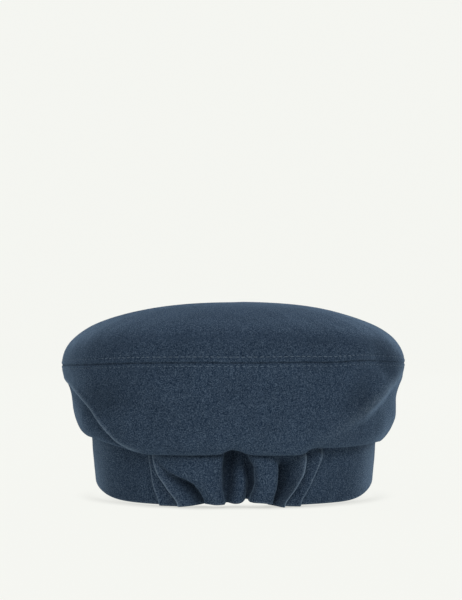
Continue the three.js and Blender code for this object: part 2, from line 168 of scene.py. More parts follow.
# Gathers at the back, one row for each ridge and valley: place across at four levels from the upper one down,
# stand-out at those levels, and height of the lower edge above the plain one.
GATHERS = np.array([
    [-62.0, -61.0, -59.5, -56.0, 0.0, 0.0, 0.0, 0.0, 0.0],
    [-52.2, -50.4, -48.4, -45.0, 0.1, 0.1, 0.1, 0.1, 0.0],
    [-51.2, -49.6, -47.6, -44.1, 0.3, 0.4, 0.4, 0.4, 0.0],
    [-50.4, -48.8, -46.8, -43.3, 2.0, 2.6, 3.2, 3.4, -0.4],
    [-49.2, -47.7, -44.6, -40.0, 1.7, 2.0, 2.2, 2.4, -0.5],
    [-47.7, -45.6, -40.0, -33.5, 1.8, 1.9, 1.9, 2.2, -0.5],
    [-46.9, -44.5, -38.4, -31.6, 4.0, 5.0, 5.4, 5.4, -0.5],
    [-46.1, -43.0, -34.4, -26.4, 4.0, 4.6, 3.4, 3.4, -0.1],
    [-45.3, -40.8, -26.4, -20.2, 4.1, 3.0, -6.0, -6.0, 0.5],
    [-44.9, -39.8, -23.8, -17.8, 4.2, 3.2, -5.0, -4.0, 1.2],
    [-44.4, -39.0, -23.2, -17.4, 4.3, 4.2, 1.2, 1.4, 1.4],
    [-42.6, -36.8, -21.4, -15.6, 4.8, 5.6, 5.0, 5.0, 1.5],
    [-24.0, -20.0, -14.0, -10.2, 6.2, 7.2, 7.4, 6.8, 1.0],
    [-9.8, -9.8, -9.6, -7.6, 5.0, 6.0, 6.0, 5.8, 1.0],
    [-6.4, -7.1, -7.0, -5.6, 1.8, 2.2, 2.2, 2.2, 1.0],
    [-6.6, -7.6, -7.6, -5.8, -4.0, -3.5, -3.5, -2.0, 1.3],
    [-4.2, -5.0, -5.0, -4.6, -9.5, -9.4, -8.6, -5.4, 1.6],
    [-2.0, -2.6, -2.4, -2.8, -9.4, -8.4, -6.6, -3.0, 1.5],
    [-0.4, -0.4, -0.6, -1.2, -8.4, -6.2, -4.2, -0.8, 1.3],
    [1.0, 1.4, 1.4, 0.4, -7.6, -4.7, -2.3, 0.5, 1.2],
    [2.2, 3.2, 3.4, 2.0, -7.0, -4.1, -1.4, 0.9, 1.3],
    [3.4, 4.8, 5.2, 3.6, -6.6, -4.4, -1.6, 0.7, 1.6],
    [4.6, 6.4, 6.8, 5.0, -6.4, -5.6, -3.0, -0.6, 2.1],
    [5.8, 8.0, 8.3, 6.3, -6.4, -7.2, -6.2, -2.8, 3.0],
    [6.8, 9.6, 9.9, 7.4, -6.0, -8.0, -8.4, -5.4, 3.7],
    [8.2, 12.0, 12.4, 9.2, -2.6, -3.8, -4.0, -2.0, 3.4],
    [8.4, 11.8, 11.8, 8.9, 1.0, 1.4, 1.6, 2.0, 2.8],
    [10.4, 13.8, 13.8, 10.9, 4.6, 5.4, 5.6, 5.4, 2.3],
    [15.6, 18.6, 18.8, 15.8, 6.2, 7.2, 7.4, 6.8, 2.0],
    [21.6, 22.9, 22.8, 19.4, 5.2, 6.0, 6.0, 5.6, 1.5],
    [24.2, 25.4, 24.9, 22.4, 2.8, 2.6, 1.8, 2.2, 1.1],
    [25.6, 26.4, 24.3, 21.6, 1.2, -2.2, -6.0, -2.8, 0.3],
    [29.6, 29.0, 27.0, 23.6, -2.4, -9.4, -12.4, -7.4, -0.3],
    [34.6, 33.0, 31.0, 26.0, -1.2, -6.6, -9.0, -3.2, -0.6],
    [41.2, 39.8, 35.0, 28.4, 4.4, 5.2, 5.4, 5.4, -0.8],
    [42.3, 41.2, 36.8, 30.4, -2.2, -2.6, -2.0, 0.2, -0.5],
    [44.4, 43.2, 39.4, 34.4, -0.9, -1.1, -0.8, 0.8, -0.7],
    [51.6, 48.0, 43.4, 38.2, 2.4, 2.8, 3.2, 3.6, -0.6],
    [53.2, 49.3, 44.7, 39.5, 0.4, 0.5, 0.5, 0.5, 0.0],
    [54.8, 51.0, 46.4, 41.4, 0.1, 0.1, 0.1, 0.1, 0.0],
    [64.0, 62.0, 59.0, 54.0, 0.0, 0.0, 0.0, 0.0, 0.0],
])
# Shares of the headband's height at the four levels, and the columns above, turned to start at the lowest.
LEVELS = np.array([0.0, 0.3, 0.55, 0.8])
ACROSS = slice(3, None, -1)
STANDING = slice(7, 3, -1)
FOOT = 8
# Ridges and valleys flatten out towards the headband's upper edge, between these shares of its height.
RIDGE_FADE = (0.76, 0.97)
VALLEY_FADE = (0.9, 1.0)
# Painted shade in the valleys: depths over which it comes in, and strength.
VALLEY_SHADE = (0.0, 8.5)
VALLEY_DARK = 0.82
# Edges painted paler, partly wear and partly painted highlight, some with a softer painted highlight beside
# the sharp one: row of the gathers, strength and width.
PALE_EDGES = (
    (3, 0.7, 0.55), (6, 0.85, 0.55), (6, 0.16, 3.4), (34, 0.85, 0.55), (34, 0.22, 4.2), (37, 0.6, 0.55),
)
# Painted light: the headband is a little paler at the sides: strength, and the angles over which it comes
# and goes.
SIDE_PAINTED_LIGHT = 0.2
SIDE_PAINTED_LIGHT_FROM_TO = (42.0, 76.0)
SIDE_PAINTED_LIGHT_UNTIL = (105.0, 150.0)

# The peak, hidden behind the cap in the main view: half its spread in degrees, reach in the middle and at the
# ends, offset of its root, power of its outline, height of its arch, share of the spread at which it touches
# the floor, and swell.
PEAK_SPREAD = 57.0
PEAK_LENGTH = 54.0
PEAK_END = 2.0
PEAK_STRIP = 1.0
PEAK_OUTLINE = 0.8
PEAK_ARCH = 4.0
PEAK_TOUCH = 7.0 / 12.0
PEAK_SWELL = 2.0

# The top seam: its dip, the swell beside it, and the groove under the stitching. The swell's place and width
# are shares of the way to the stitching.
SEAM_DIP = 0.45
SEAM_DIP_WIDTH = 0.7
SEAM_SWELL = 0.12
SWELL_PLACE = 0.5
SWELL_WIDTH = 0.3
GROOVE = 0.16
GROOVE_WIDTH = 0.7
# The dark line along it: width, mean strength, and the height, number round the cap and start of its waves.
SEAM_LINE = 0.68
SEAM_DARK = 0.7
SEAM_DARK_WAVES = ((0.15, 53, 0.7), (0.1, 131, 2.1))
# Distances from the seam over which folds begin to count as ridges and dips.
SEAM_CLEAR = (4.0, 8.0)
# Stitching: distance of its two rows from the seam, spacing and length of the stitches, radius of the thread.
UPPER_ROW = 3.3
LOWER_ROW = 2.1
STITCH_PITCH = 3.6
STITCH_LENGTH = 2.6
THREAD = 0.21

# Unevenness of soft cloth, from wide to fine: height, and for each of two crossed waves its number round the
# cap, its lean for each millimetre of height and its start, in radians.
RIPPLES = (
    (0.42, (7, 0.055, 0.6), (3, -0.08, 1.9)),
    (0.16, (17, -0.13, 2.3), (11, 0.21, 0.4)),
    (0.06, (41, 0.33, 1.1), (29, -0.41, 2.7)),
)
# It comes in over these distances from the seam and, on the dome, over these radii.
UNEVEN_FROM_SEAM = (1.0, 10.0)
UNEVEN_RADII = (50.0, 100.0)

# Photograph's camera: millimetres a pixel at the axis, distance from it, height, and the axis's pixel.
MM_PER_PIXEL = 0.640
CAMERA_DISTANCE = 1300.0
CAMERA_HEIGHT = 121.4
IMAGE_WIDTH, IMAGE_HEIGHT = 462, 600
AXIS_PIXEL = 234.0
SENSOR = 36.0


def smooth(x, low, high):
    t = np.clip((x - low) / (high - low), 0.0, 1.0)
    return t * t * (3.0 - 2.0 * t)


def mix(a, b, t):
    return a + (b - a) * t


def bell(x, centre, width):
    return np.exp(-(((x - centre) / width) ** 2))


def wrapped(angle):
    return (angle + 180.0) % 360.0 - 180.0


def oval(angle, shape):
    """Radius of an oval whose back and front halves have their own depths."""
    s = np.sin(np.radians(angle))
    c = np.cos(np.radians(angle))
    depth = np.where(c > 0, shape["back"], shape["front"])
    total = np.abs(s / shape["half_width"]) ** shape["power"] + np.abs(c / depth) ** shape["power"]
    return total ** (-1.0 / shape["power"])


def seam_pull(angle):
    place = wrapped(angle)
    return sum(row[2] * bell(place, row[0], row[1]) for row in SEAM_PULL)


def hermite(v0, v1, m0, m1, h, t):
    s = 1.0 - t
    return (1 + 2 * t) * s * s * v0 + t * s * s * h * m0 + t * t * (3 - 2 * t) * v1 - t * t * s * h * m1


def around(column, angle):
    """Smooth closed curve round the cap through one column of the sections."""
    x = SECTIONS[:, 0]
    v = SECTIONS[:, column]
    last = len(x) - 1
    far_x = np.concatenate([[x[last - 1] - 360], x, [x[1] + 360]])
    far_v = np.concatenate([[v[last - 1]], v, [v[1]]])
    slope = (far_v[2:] - far_v[:-2]) / (far_x[2:] - far_x[:-2])
    place = wrapped(angle)
    k = np.clip(np.searchsorted(x, place, side="right") - 1, 0, last - 1)
    h = x[k + 1] - x[k]
    return hermite(v[k], v[k + 1], slope[k], slope[k + 1], h, (place - x[k]) / h)


def monotone(x, v, q):
    """Cubic through points that never overshoots them. Each column of v has its own values."""
    h = np.diff(x)[:, None]
    d = np.diff(v, axis=0) / h
    w1 = 2 * h[1:] + h[:-1]
    w2 = h[1:] + 2 * h[:-1]
    same = d[:-1] * d[1:] > 0
    before = np.where(same, d[:-1], 1.0)
    after = np.where(same, d[1:], 1.0)
    inner = np.where(same, (w1 + w2) / (w1 / before + w2 / after), 0.0)
    edge = np.zeros((1, v.shape[1]))
    m = np.concatenate([edge, inner, edge])
    k = np.clip(np.searchsorted(x, q, side="right") - 1, 0, len(x) - 2)
    t = ((q - x[k]) / h[k, 0])[:, None]
    return hermite(v[k], v[k + 1], m[k], m[k + 1], h[k], t)


def lip_height(angle):
    return monotone(LIP_LINE[:, 0], LIP_LINE[:, 1:], wrapped(angle))[:, 0]


def rim_height(angle):
    """Height of the headband's lower edge: level behind, rising in a line towards the peak."""
    past = -oval(angle, BAND) * np.cos(np.radians(angle)) - RIM_START
    bend = RIM_SLOPE * (past + RIM_BLEND) ** 2 / (4 * RIM_BLEND)
    rise = np.where(past > RIM_BLEND, RIM_SLOPE * past, np.where(past < -RIM_BLEND, 0.0, bend))
    lift = RIM_LIFT[2] * bell(wrapped(angle), *RIM_LIFT[:2])
    return rise + lift - RIM_DROP * (1.0 - smooth(past, 0.0, RIM_DROP_END))


def to_points(angle, r, z):
    """Points of the frame, in millimetres, from angles and grids of radius and height."""
    a = np.radians(angle)
    if r.ndim > a.ndim:
        a = a[:, None]
    return np.stack([r * np.sin(a), -r * np.cos(a) + AXIS_Y, z + HANG], axis=-1)


def wave(a, z, number, lean, start):
    return np.sin(number * a + lean * z + start)


def ripple(angle, z):
    """Slow unevenness of soft cloth, about one millimetre from crest to trough."""
    a = np.radians(angle)
    return sum(high * (wave(a, z, *first) * wave(a, z, *second)) for high, first, second in RIPPLES)


def dents(rows, angle, z):
    place = wrapped(angle)
    return sum(row[4] * bell(place, row[0], row[2]) * bell(z, row[1], row[3]) for row in rows)


def beside_seam(distance, row):
    """How the cloth dips at the seam, swells beside it and sinks under the stitching."""
    dip = -SEAM_DIP * bell(distance, 0.0, SEAM_DIP_WIDTH)
    swell = SEAM_SWELL * bell(distance, SWELL_PLACE * row, SWELL_WIDTH * row)
    return dip + swell - GROOVE * bell(distance, row, GROOVE_WIDTH)


def seam_line(distance):
    """Strength of the dark line along the seam, a little uneven."""
    a = np.radians(ANGLES)[:, None]
    uneven = sum((high * np.sin(number * a + start) for high, number, start in SEAM_DARK_WAVES), SEAM_DARK)
    return uneven * bell(distance, 0.0, SEAM_LINE)


def pinch_shade(distance):
    """Painted shade in the pinch at the right end of the seam."""
    around_it = bell(wrapped(ANGLES), *PINCH_ANGLE)[:, None]
    return PINCH_SHADE * around_it * bell(distance, *PINCH_REACH)


def darkened(dip, shade, from_seam):
    """How dark the crown's cloth is painted: painted shade in its folds, shaded places and the pinch, and the
    dark line along the seam.
    """
    dip = np.maximum(dip * smooth(from_seam, *SEAM_CLEAR), seam_line(from_seam))
    return np.maximum(np.maximum(dip, shade), pinch_shade(from_seam))


def section_normals(r, z):
    """Outward normals of sections that run from the top down, in radius and height."""
    dr = np.gradient(r, axis=1)
    dz = np.gradient(z, axis=1)
    length = np.hypot(dr, dz)
    return -dz / length, dr / length


def beside(*grids):
    return np.concatenate(grids, axis=1)


def run_length(r, z):
    step = np.hypot(np.diff(r, axis=1), np.diff(z, axis=1))
    return beside(np.zeros((len(r), 1)), np.cumsum(step, axis=1))


def moved(grid, axis, steps, goes_round):
    """Copies of a grid, moved by some steps along one axis, round it or up to its ends."""
    at = np.arange(grid.shape[axis])
    mode = "wrap" if goes_round else "clip"
    return [np.take(grid, at + step, axis=axis, mode=mode) for step in steps]


def lowest_near(field, columns, rows):
    """The field's lowest value within a window, smoothed over the same window, so never above the field."""
    for take in (np.min, np.mean):
        for axis, reach in enumerate((columns, rows)):
            field = take(moved(field, axis, range(-reach, reach + 1), axis == 0), axis=0)
    return field


# Columns round the crown are closer together over the back.
BACK_SPAN = 104.0
BACK_COLUMNS = 540
FRONT_COLUMNS = 100
ANGLES = np.concatenate([
    np.linspace(-BACK_SPAN, BACK_SPAN, BACK_COLUMNS, endpoint=False),
    np.linspace(BACK_SPAN, 360 - BACK_SPAN, FRONT_COLUMNS, endpoint=False),
])


def angle_grid(rows):
    """The angles of the crown's columns, repeated for each row of a grid."""
    return np.repeat(ANGLES[:, None], rows, axis=1)


def closed_faces(columns, rows, goes_round, loops):
    """Quads of a grid of points numbered column by column."""
    i = np.arange(columns if goes_round else columns - 1)
    j = np.arange(rows if loops else rows - 1)
    i, j = np.meshgrid(i, j, indexing="ij")
    right = (i + 1) % columns
    down = (j + 1) % rows
    quads = np.stack([i * rows + j, i * rows + down, right * rows + down, right * rows + j], axis=-1)
    return quads.reshape(-1, 4)


# How folds are measured: radius of a sharp one, share from which one counts as a ridge, and the least span of
# points and length of a normal, so that crowded points don't count as folds.
RIDGE_RADIUS = 1.1
RIDGE_FROM = 0.5
LEAST_SPAN = 0.3
LEAST_LENGTH = 1e-9
# Columns and rows to either side over which each piece's folds are measured.
TOP_REACH = (2, 2)
SIDE_REACH = (2, 3)
BAND_REACH = (3, 1)
PEAK_REACH = (2, 2)


def bend_of(grid, axis, reach, goes_round, outward):
    """Curvature along one direction of a grid, positive on ridges, in one over millimetres."""
    before, after = moved(grid, axis, (-reach, reach), goes_round)
    rise = np.sum((grid - (before + after) / 2) * outward, axis=-1)
    span = np.linalg.norm(after - before, axis=-1) / 2
    return 2 * rise / np.maximum(span, LEAST_SPAN) ** 2


def grid_normals(grid, goes_round):
    if goes_round:
        across = np.roll(grid, -1, axis=0) - np.roll(grid, 1, axis=0)
    else:
        across = np.gradient(grid, axis=0)
    down = np.gradient(grid, axis=1)
    normal = np.cross(down, across)
    return normal / np.maximum(np.linalg.norm(normal, axis=-1, keepdims=True), LEAST_LENGTH)


def ridges_and_dips(grid, reach, goes_round):
    """Shares from 0 to 1 of how sharply the cloth folds out and in at each point of a grid."""
    normal = grid_normals(grid, goes_round)
    round_it = bend_of(grid, 0, reach[0], goes_round, normal)
    down_it = bend_of(grid, 1, reach[1], False, normal)
    ridge = np.tanh(np.maximum(np.maximum(round_it, down_it), 0) * RIDGE_RADIUS)
    ridge = np.maximum(ridge - RIDGE_FROM, 0.0) / (1.0 - RIDGE_FROM)
    dip = np.tanh(np.maximum(-np.minimum(round_it, down_it), 0) * RIDGE_RADIUS)
    return ridge, dip


def new_piece(name, points, faces, material):
    """A smooth mesh object from points in metres."""
    mesh = bpy.data.meshes.new(name)
    mesh.from_pydata(points, [], faces)
    mesh.polygons.foreach_set("use_smooth", np.ones(len(mesh.polygons), bool))
    mesh.materials.append(material)
    mesh.validate()
    mesh.update()
    piece = bpy.data.objects.new(name, mesh)
    bpy.context.scene.collection.objects.link(piece)
    return piece


def felt_piece(name, points, faces, material, ridge, dip):
    """A piece of felt from points in millimetres, with its faces turned outwards."""
    faces = [tuple(dict.fromkeys(face)) for face in faces.tolist()]
    faces = [face for face in faces if len(face) > 2]
    corners = points[np.array([face[:3] for face in faces])]
    volume = np.einsum("ij,ij->i", corners[:, 0], np.cross(corners[:, 1], corners[:, 2])).sum()
    if volume < 0:
        faces = [face[::-1] for face in faces]
    piece = new_piece(name, (points * MM).tolist(), faces, material)
    # The shares set the felt's colour: ridge paints it paler, dip paints shade and the seam's dark line.
    for label, values in (("ridge", ridge), ("dip", dip)):
        layer = piece.data.attributes.new(label, "FLOAT", "POINT")
        layer.data.foreach_set("value", values.astype(np.float32))
    return piece


def joined(outer, inner, ridge, dip):
    """Closed sections from an outer and an inner grid, and their shares, which are nought inside."""
    grid = beside(outer, inner[:, ::-1])
    plain = np.zeros(inner.shape[:2])
    shares = (beside(values, plain).reshape(-1) for values in (ridge, dip))
    return grid, *shares


def looped_piece(name, outer, inner, material, ridge, dip):
    """A ring of felt whose sections close on themselves."""
    grid, ridge, dip = joined(outer, inner, ridge, dip)
    faces = closed_faces(*grid.shape[:2], True, True)
    return felt_piece(name, grid.reshape(-1, 3), faces, material, ridge, dip)


# Top panel: rows beside the seam, up to a share of the dome's height, and over the rest of the dome.
SEAM_ROWS = 22
INNER_SEAM_ROWS = 4
SEAM_SHARE = 0.17
DOME_ROWS = 36
INNER_DOME_ROWS = 16


def dome(angle, shares):
    """Radius and height of the dome, from shares of its height at the seam, 0, to its middle, 1."""
    bulge = 2.0 / DOME_POWER
    t = np.arccos(np.clip(shares, 0, 1) ** (1.0 / bulge))
    seam_z = around(SEAM_Z, angle) + SEAM_GAP / 2
    r = oval(angle, SEAM)[:, None] * np.sin(t)[None, :] ** bulge
    r = r + seam_pull(angle)[:, None] * bell(shares, 0.0, PULL_SHARE)[None, :]
    z = mix(seam_z[:, None], DOME_HEIGHT, shares[None, :])
    return r, z


def dome_shares(seam_rows, dome_rows):
    edge = np.arccos(SEAM_SHARE ** (DOME_POWER / 2.0))
    t = np.linspace(0.0, edge, dome_rows)
    return np.concatenate([np.cos(t) ** (2.0 / DOME_POWER), np.linspace(SEAM_SHARE, 0, seam_rows + 1)[1:]])


def top_outer():
    """Radius, height and distance from the seam over the top panel's outer face."""
    r, z = dome(ANGLES, dome_shares(SEAM_ROWS, DOME_ROWS))
    nr, nz = section_normals(r, z)
    length = run_length(r, z)
    from_seam = length[:, -1:] - length
    wide = angle_grid(r.shape[1])
    push = beside_seam(from_seam, UPPER_ROW) + dents(TOP_DENTS, wide, z)
    push = push + ripple(wide, z) * smooth(r, *UNEVEN_RADII) * smooth(from_seam, *UNEVEN_FROM_SEAM)
    return r + nr * push, z + nz * push, from_seam


def top_panel(material):
    r, z, from_seam = top_outer()
    inner_r, inner_z = dome(ANGLES, dome_shares(INNER_SEAM_ROWS, INNER_DOME_ROWS))
    nr, nz = section_normals(inner_r, inner_z)
    # At the seam the inner face lies straight behind the outer one.
    nz[:, -1] = 0.0
    nr[:, -1] = 1.0
    outer = to_points(ANGLES, r, z)
    inner = to_points(ANGLES, inner_r - CLOTH * nr, inner_z - CLOTH * nz)
    # The columns meet in one point at the middle.
    outer[:, 0] = outer[:, 0].mean(axis=0)
    inner[:, 0] = inner[:, 0].mean(axis=0)
    ridge, dip = ridges_and_dips(outer, TOP_REACH, True)
    ridge = ridge * smooth(from_seam, *SEAM_CLEAR)
    # Painted shade in folds, the top's shaded places and the pinch, and the seam's dark line.
    dip = darkened(dip, dents(TOP_SHADES, angle_grid(r.shape[1]), z), from_seam)
    grid, ridge, dip = joined(outer, inner, ridge, dip)
    columns, rows = grid.shape[:2]
    numbers = np.arange(columns * rows).reshape(columns, rows)
    numbers[:, 0] = numbers[0, 0]
    numbers[:, -1] = numbers[0, -1]
    faces = numbers.reshape(-1)[closed_faces(columns, rows, True, False)]
    used, faces = np.unique(faces, return_inverse=True)
    points = grid.reshape(-1, 3)[used]
    return felt_piece("top_panel", points, faces.reshape(-1, 4), material, ridge[used], dip[used])


# Side panel: steps between the points of its section, how crowded they are beside the seam, and of how many
# the inner face keeps one.
SECTION_STEPS = (22, 30, 20, 16, 12, 3, 3)
SEAM_CROWDING = 1.5
INNER_EVERY = 4
# Dents and unevenness go out between these places of the section.
SOFT_END = (LIP - 1, LIP + 0.5)
# The inner face follows outward folds only this far, and is evened out over this many columns and rows.
INNER_PUSH = 0.5
INNER_WINDOW = (3, 4)


def section_places():
    """Places along the side panel's section, in points from the seam, crowded towards the seam."""
    places = []
    for k, steps in enumerate(SECTION_STEPS):
        t = np.arange(steps) / steps
        places.append(k + (t ** SEAM_CROWDING if k == 0 else t))
    return np.concatenate(places + [[len(SECTION_STEPS)]])


def side_base(angle, places):
    """The side panel's section without its folds: radius and height for each angle and place."""
    base = oval(angle, BAND) + BAND_FLARE
    band_top = rim_height(angle) + BAND_HEIGHT
    waist, belly, lip = (around(column, angle) for column in (WAIST_OUT, BELLY_OUT, LIP_OUT))
    belly_z = around(BELLY_Z, angle)
    lip_z = lip_height(angle)
    under = mix(UNDER_BACK, UNDER_SIDE, smooth(np.abs(wrapped(angle)), *UNDER_ANGLES))
    points = np.stack([np.stack(point, axis=-1) for point in (
        (oval(angle, SEAM) + seam_pull(angle), around(SEAM_Z, angle) - SEAM_GAP / 2),
        (base + waist, around(WAIST_Z, angle)),
        (base + belly, belly_z),
        (base + mix(lip, belly, under), mix(lip_z, belly_z, UNDER_HEIGHT)),
        (base + lip, lip_z),
        (base + TUCK_OUT, band_top - TUCK_DROP),
        (base + TUCK_CORNER, band_top + GAP),
        (base - BAND_WALL, band_top + GAP),
    )], axis=1)
    step = np.linalg.norm(np.diff(points, axis=1), axis=2)[..., None]
    tangent = np.empty_like(points)
    tangent[:, 0] = [0.0, -1.0]
    tangent[:, 1:-1] = (points[:, 2:] - points[:, :-2]) / (step[:, :-1] + step[:, 1:])
    tangent[:, -1] = (points[:, -1] - points[:, -2]) / step[:, -1]
    k = np.clip(places.astype(int), 0, points.shape[1] - 2)
    t = (places - k)[None, :, None]
    section = hermite(points[:, k], points[:, k + 1], tangent[:, k], tangent[:, k + 1], step[:, k], t)
    return section[..., 0], section[..., 1]


def fold_place(fold, angle, z):
    """Drop of a long fold at each angle, and how far each point lies below its ridge."""
    path = fold["path"]
    place = wrapped(angle)[:, 0]
    line = monotone(path[:, 0], path[:, 1:], np.clip(place, path[0, 0], path[-1, 0]))
    return line[:, 1:], line[:, :1] - z


def fold_line(fold, angle, z):
    """Strength of the paler line along a fold's ridge, partly wear and partly painted highlight."""
    drop, below = fold_place(fold, angle, z)
    return fold["wear_and_highlight"] * np.minimum(drop / LINE_DROP, 1.0) * bell(below, fold["edge"], fold["line"])


def fold_push(fold, angle, z):
    """How far a long fold pushes the crown out along its ridge and in below it."""
    drop, below = fold_place(fold, angle, z)
    tail = bell(np.maximum(below - fold["fall"], 0), 0.0, fold["reach"])
    crest = fold["crest"] * bell(below / fold["ridge"], -CREST_RISE, 1.0)
    return drop * (crest - smooth(below, 0, fold["fall"]) * tail)


def side_grids():
    """The side panel's outer and inner face, distances from the seam, and shares of paler cloth, from wear
    and painted light, and of painted shade.
    """
    places = section_places()
    r, z = side_base(ANGLES, places)
    nr, nz = section_normals(r, z)
    wide = angle_grid(len(places))
    share = smooth(places, 0, FOLD_START) * (1 - smooth(places, LIP - FOLD_END, LIP))
    folds = share * (fold_push(LEFT_FOLD, wide, z) + fold_push(RIGHT_FOLD, wide, z))
    from_seam = run_length(r, z)
    soft = (dents(SIDE_DENTS, wide, z) + ripple(wide, z)) * smooth(from_seam, *UNEVEN_FROM_SEAM)
    push = folds + soft * (1 - smooth(places, *SOFT_END)) + beside_seam(from_seam, LOWER_ROW)
    outer = r + nr * push, z + nz * push
    # Paler lines along the folds, from wear and painted highlight, and painted light low on the left side.
    wear_and_highlight = share * np.maximum(fold_line(LEFT_FOLD, wide, z), fold_line(RIGHT_FOLD, wide, z))
    aside = 1 - smooth(wrapped(wide), *UNDER_PAINTED_LIGHT_ANGLES)
    wear_and_highlight = np.maximum(wear_and_highlight, UNDER_PAINTED_LIGHT * aside * (1 - smooth(z, *UNDER_PAINTED_LIGHT_HEIGHTS)))
    under = lowest_near(np.minimum(push, INNER_PUSH), *INNER_WINDOW) - CLOTH
    rows = np.unique(np.append(np.arange(0, len(places), INNER_EVERY), len(places) - 1))
    # At the seam the inner face lies straight behind the outer one.
    nz[:, 0] = 0.0
    nr[:, 0] = 1.0
    inner = (r + nr * under)[:, rows], (z + nz * under)[:, rows]
    return outer, inner, from_seam, wear_and_highlight, dents(SIDE_SHADES, wide, z)


def side_panel(material):
    outer_face, inner_face, from_seam, wear_and_highlight, shade = side_grids()
    outer = to_points(ANGLES, *outer_face)
    inner = to_points(ANGLES, *inner_face)
    ridge, dip = ridges_and_dips(outer, SIDE_REACH, True)
    # Ridges and fold lines painted paler, partly wear and partly painted highlight.
    ridge = np.maximum(ridge * smooth(from_seam, *SEAM_CLEAR), wear_and_highlight)
    # Painted shade in folds, the side's shaded places and the pinch, and the seam's dark line.
    dip = darkened(dip, shade, from_seam)
    return looped_piece("side_panel", outer, inner, material, ridge, dip)


# Headband: rows up its height, radius and rows of its lower edge, columns between two rows of the gathers and
# round the front.
BAND_ROWS = 44
BAND_EDGE = 1.3
BAND_EDGE_ROWS = 7
GATHER_PARTS = 10
BAND_FRONT = 150
ANGLE_PASSES = 10
# How much of its sharp ridges' paler tone, from wear and painted highlight, is kept.
EDGE_WEAR_AND_HIGHLIGHT = 0.5
# Its unevenness: share of the crown's, turn and start round the cap, closeness over its height, and where it
# comes in, in shares of its height.
BAND_RIPPLE = 0.5
BAND_RIPPLE_TURN, BAND_RIPPLE_START = 1.3, 40.0
BAND_RIPPLE_RISE = 1.4
BAND_RIPPLE_FROM_TO = (0.0, 0.3)


def at_level(share, columns):
    """The gathers' values in one set of columns, at a share of the headband's height."""
    level = np.array([min(share, LEVELS[-1])])
    return monotone(LEVELS, GATHERS[:, columns].T, level)[0]


def angle_across(x, share):
    """The angle at which the headband, at a share of its height, lies at a place x across the back."""
    angle = np.zeros_like(x)
    for _ in range(ANGLE_PASSES):
        angle = np.degrees(np.arcsin(x / (oval(angle, BAND) + BAND_FLARE * share)))
    return angle


def under_gathers(x, out):
    """The inner face: nowhere nearer to the outer one than the wall's thickness."""
    aside = x[None, :] - x[:, None]
    room = np.sqrt(np.maximum(BAND_WALL ** 2 - aside ** 2, 0.0))
    reach = np.where(np.abs(aside) < BAND_WALL, out[None, :] - room, np.inf)
    return reach.min(axis=1)


def band_level(share, edge):
    """One level of the headband: angle, outer and inner radius, height, stand-out and share of paler cloth,
    from wear and painted light. edge is the level's height over the lower edge."""
    rows = np.arange(len(GATHERS), dtype=float)
    x = at_level(share, ACROSS)
    out = at_level(share, STANDING)
    strength = 1 - smooth(share, *RIDGE_FADE)
    out = out * np.where(out > 0, strength, 1 - smooth(share, *VALLEY_FADE))
    steps = np.arange((len(GATHERS) - 1) * GATHER_PARTS) / GATHER_PARTS
    line = monotone(rows, np.stack([x, out, GATHERS[:, FOOT]], axis=1), steps)
    back = angle_across(line[:, 0], share)
    first, last = angle_across(x[[0, -1]], share)
    front = np.linspace(last, first + 360.0, BAND_FRONT, endpoint=False)
    angle = np.concatenate([back, front])
    within = under_gathers(line[:, 0], line[:, 1])
    length = np.append(0.0, np.cumsum(np.hypot(np.diff(line[:, 0]), np.diff(line[:, 1]))))
    pale = sum(amount * bell(length, length[row * GATHER_PARTS], wide) for row, amount, wide in PALE_EDGES)
    plain = np.zeros(BAND_FRONT)
    out = np.concatenate([line[:, 1], plain])
    within = np.concatenate([within, plain - BAND_WALL])
    foot = np.concatenate([line[:, 2], plain])
    base = oval(angle, BAND) + BAND_FLARE * share
    rounding = BAND_EDGE - math.sqrt(max(BAND_EDGE ** 2 - max(BAND_EDGE - edge, 0.0) ** 2, 0.0))
    rim = rim_height(angle)
    height = mix(rim + foot, rim + BAND_HEIGHT, share)
    soft = ripple(angle * BAND_RIPPLE_TURN + BAND_RIPPLE_START, height * BAND_RIPPLE_RISE) * BAND_RIPPLE
    soft = soft * smooth(share, *BAND_RIPPLE_FROM_TO) * strength
    aside = np.abs(wrapped(angle))
    # Painted light at the headband's sides, and the gathers' paler edges, from wear and painted highlight.
    wear_and_highlight = SIDE_PAINTED_LIGHT * smooth(aside, *SIDE_PAINTED_LIGHT_FROM_TO) * (1 - smooth(aside, *SIDE_PAINTED_LIGHT_UNTIL))
    wear_and_highlight = np.maximum(wear_and_highlight, np.concatenate([pale, plain]))
    return angle, base + out + soft - rounding, base + within + rounding, height, out, wear_and_highlight


def headband(material):
    low = BAND_EDGE * (1 - np.cos(np.linspace(0, math.pi / 2, BAND_EDGE_ROWS)))
    heights = np.concatenate([low, np.linspace(BAND_EDGE, BAND_HEIGHT, BAND_ROWS)[1:]])[::-1]
    levels = [band_level(h / BAND_HEIGHT, h) for h in heights]
    angle, outer_r, inner_r, z, out, wear_and_highlight = (np.stack(column, axis=1) for column in zip(*levels))
    outer = to_points(angle, outer_r, z)
    inner = to_points(angle, inner_r, z)
    ridge, dip = ridges_and_dips(outer, BAND_REACH, True)
    # Sharp ridges painted paler, partly wear and partly painted highlight, with the painted light at the
    # sides.
    ridge = np.maximum(EDGE_WEAR_AND_HIGHLIGHT * ridge, wear_and_highlight)
    # Painted shade in the valleys of the gathers, the deeper the darker.
    dip = np.maximum(dip, VALLEY_DARK * smooth(-out, *VALLEY_SHADE))
    return looped_piece("headband", outer, inner, material, ridge, dip)


# Peak
PEAK_COLUMNS = 121
PEAK_ROWS = 40
PEAK_EDGE_ROWS = 7


def visor_faces(columns, count):
    """Quads round the peak's sections and over its two ends."""
    faces = [closed_faces(columns, count, False, True)]
    j = np.arange(count // 2)
    for column in (0, columns - 1):
        first = column * count
        faces.append(first + np.stack([j, j + 1, count - 2 - j, count - 1 - j], axis=1))
    faces[-1] = faces[-1][:, ::-1]
    return np.concatenate(faces)


